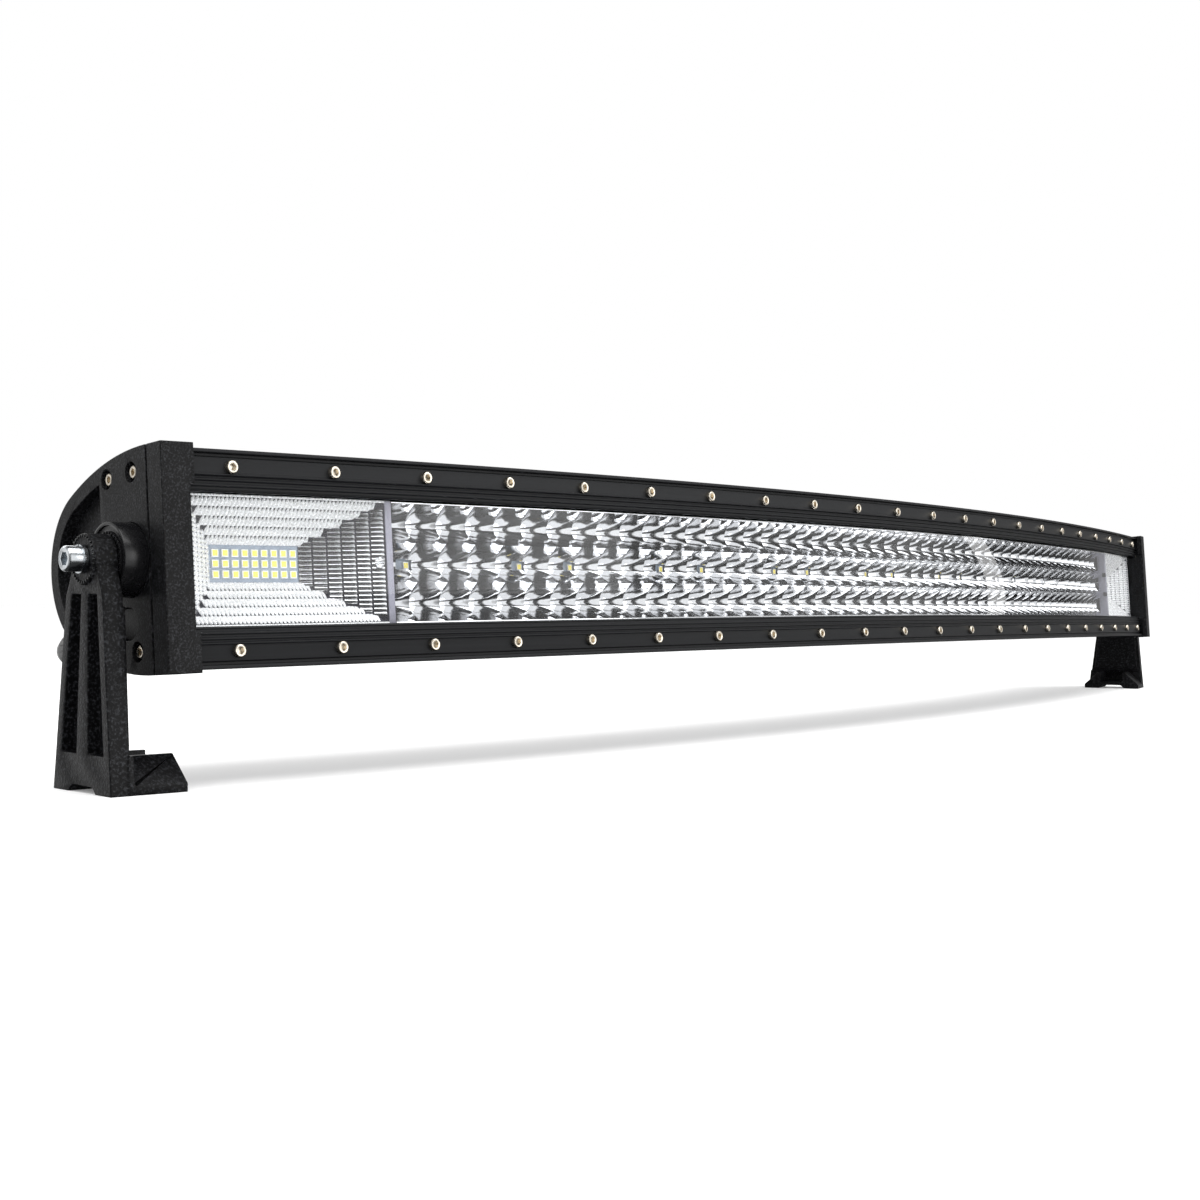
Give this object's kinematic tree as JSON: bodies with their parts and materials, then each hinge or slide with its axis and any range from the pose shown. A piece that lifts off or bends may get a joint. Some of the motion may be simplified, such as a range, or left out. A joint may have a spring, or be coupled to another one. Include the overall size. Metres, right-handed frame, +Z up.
{
  "type": "led light bar",
  "caption": "Curved LED light bar with a clear lens over metallised reflectors, finned housing, end caps and tilting side brackets.",
  "frame": {"origin": "centre of the bounding box at the plane the feet stand on", "axes": "+X along the bar from the cable end to the other end, +Y from the lens to the rear, +Z up"},
  "size_m": [1.1614, 0.1412, 0.1374],
  "materials": {
    "housing_black": "matte black anodised extrusion",
    "bezel_black": "matte black anodised extrusion",
    "cap_black": "fine-textured black powder coat",
    "bracket_black": "coarse-textured black powder coat on a die casting",
    "screw_steel": "nickel-plated, warm tint",
    "bolt_zinc": "bright zinc plate",
    "lens_clear": "clear polycarbonate",
    "post_clear": "clear moulded plastic",
    "reflector_metallised": "vacuum-metallised plastic",
    "board_white": "pale solder mask on aluminium-core board",
    "led_phosphor": "yellow phosphor in a white package",
    "driver_green": "green circuit board",
    "gasket_rubber": "black silicone",
    "gland_nylon": "black nylon"
  },
  "bodies": {
    "light": {"housing": "housing_black", "lens": "lens_clear", "lens_gasket": "gasket_rubber", "bezel_top": "bezel_black", "bezel_bottom": "bezel_black", "bezel_screws_top": "screw_steel", "bezel_screws_bottom": "screw_steel", "reflector_centre": "reflector_metallised", "reflector_flood_left": "reflector_metallised", "reflector_flood_right": "reflector_metallised", "reflector_posts": "post_clear", "led_board_centre": "board_white", "led_board_left": "board_white", "led_board_right": "board_white", "leds_centre": "led_phosphor", "leds_left": "led_phosphor", "leds_right": "led_phosphor", "board_screws": "screw_steel", "driver_board": "driver_green", "end_cap_left": "cap_black", "end_cap_right": "cap_black", "end_gasket_left": "gasket_rubber", "end_gasket_right": "gasket_rubber", "end_cap_screws_left": "screw_steel", "end_cap_screws_right": "screw_steel", "pivot_hub_left": "cap_black", "pivot_hub_right": "cap_black", "pivot_bolt_left": "bolt_zinc", "pivot_bolt_right": "bolt_zinc", "spring_washer_left": "bolt_zinc", "spring_washer_right": "bolt_zinc", "gland_body": "gland_nylon", "gland_seal": "gasket_rubber", "gland_nut": "gland_nylon"},
    "left_bracket": {"bracket_left": "bracket_black"},
    "right_bracket": {"bracket_right": "bracket_black"}
  },
  "joints": [
    {"name": "left_bracket_tilt", "type": "hinge", "parent": "light", "child": "left_bracket", "pos_m": [-0.55231, 0.00497, 0.09], "axis": [-0.9834, 0.1816, 0], "range_deg": [-35, 90]},
    {"name": "right_bracket_tilt", "type": "hinge", "parent": "light", "child": "right_bracket", "pos_m": [0.55231, 0.00497, 0.09], "axis": [-0.9834, -0.1816, 0], "range_deg": [-35, 90]}
  ]
}
